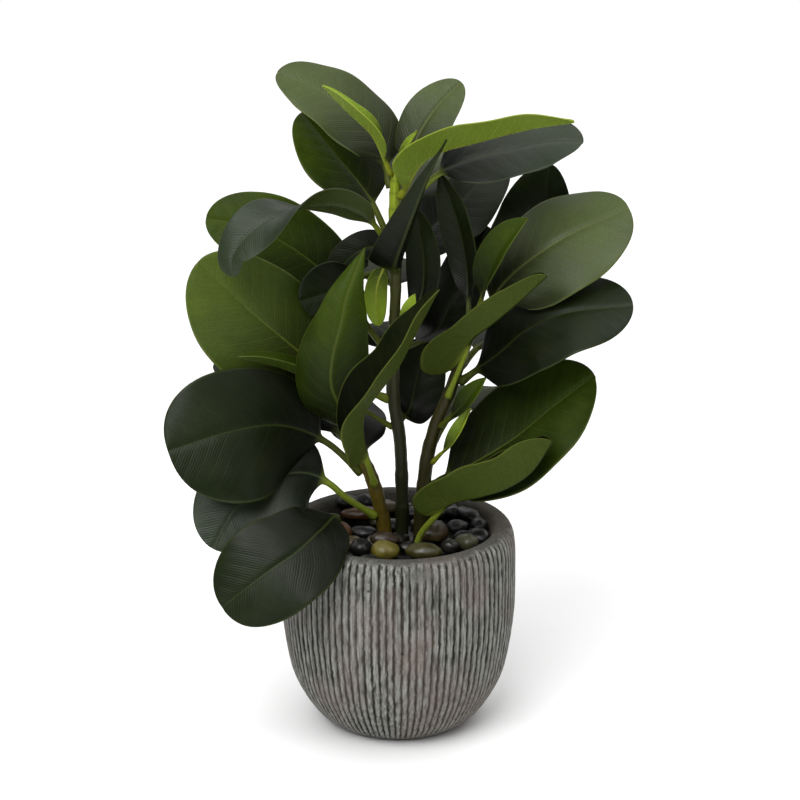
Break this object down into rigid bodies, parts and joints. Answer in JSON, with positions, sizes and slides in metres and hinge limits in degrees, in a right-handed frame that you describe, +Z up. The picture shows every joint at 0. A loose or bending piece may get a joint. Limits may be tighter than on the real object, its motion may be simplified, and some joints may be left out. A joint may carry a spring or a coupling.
{
  "type": "potted peperomia",
  "caption": "Artificial peperomia with broad oval leaves on upright stems, planted in a barrel-shaped ribbed cement pot topped with pebbles.",
  "frame": {"origin": "centre of the pot's flat foot, on the surface that it stands on", "axes": "+Z up along the pot's axis, -Y towards the plant's front"},
  "size_m": [0.2301, 0.1577, 0.3386],
  "materials": {
    "cement": "matt, ribbed",
    "plug_foam": "matt foam",
    "pebbles": "smooth, rounded",
    "stem_green": "satin",
    "leaf_mid": "satin",
    "leaf_light": "satin",
    "leaf_young": "satin",
    "leaf_pale": "satin",
    "leaf_slate": "satin",
    "leaf_dark": "satin"
  },
  "bodies": {
    "root": {"pot": "cement", "planting_plug": "plug_foam", "pebble_layer": "pebbles", "stem_main": "stem_green", "stem_left": "stem_green", "stem_right": "stem_green", "leaf_top_left": "leaf_pale", "leaf_under_top_left": "leaf_mid", "leaf_top_young": "leaf_young", "leaf_top_right": "leaf_pale", "leaf_bud": "leaf_young", "leaf_top_long": "leaf_young", "leaf_top_broad": "leaf_slate", "leaf_twisted": "leaf_slate", "leaf_folded_right": "leaf_dark", "leaf_behind_stem": "leaf_dark", "leaf_middle_young": "leaf_young", "leaf_middle_little": "leaf_young", "leaf_right_upright": "leaf_dark", "leaf_right_tall": "leaf_dark", "leaf_right_big": "leaf_pale", "leaf_right_wide": "leaf_dark", "leaf_right_low": "leaf_dark", "leaf_right_cupped": "leaf_light", "leaf_right_small": "leaf_young", "leaf_right_little": "leaf_mid", "leaf_right_pointed": "leaf_mid", "leaf_front_cupped": "leaf_light", "leaf_front_folded": "leaf_light", "leaf_front_upright": "leaf_mid", "leaf_left_olive": "leaf_mid", "leaf_left_light": "leaf_light", "leaf_left_dark": "leaf_dark", "leaf_left_slate": "leaf_dark", "leaf_left_narrow": "leaf_young", "leaf_left_behind": "leaf_dark", "leaf_left_big": "leaf_dark", "leaf_left_lower": "leaf_slate", "leaf_left_drooping": "leaf_dark", "leaf_back_top": "leaf_pale", "leaf_back_upper_right": "leaf_dark", "leaf_back_upper_left": "leaf_mid", "leaf_back_middle": "leaf_dark", "leaf_back_left": "leaf_mid", "leaf_back_centre": "leaf_dark", "leaf_back_right": "leaf_mid", "leaf_back_low_left": "leaf_dark", "leaf_back_low_right": "leaf_light"}
  },
  "joints": []
}
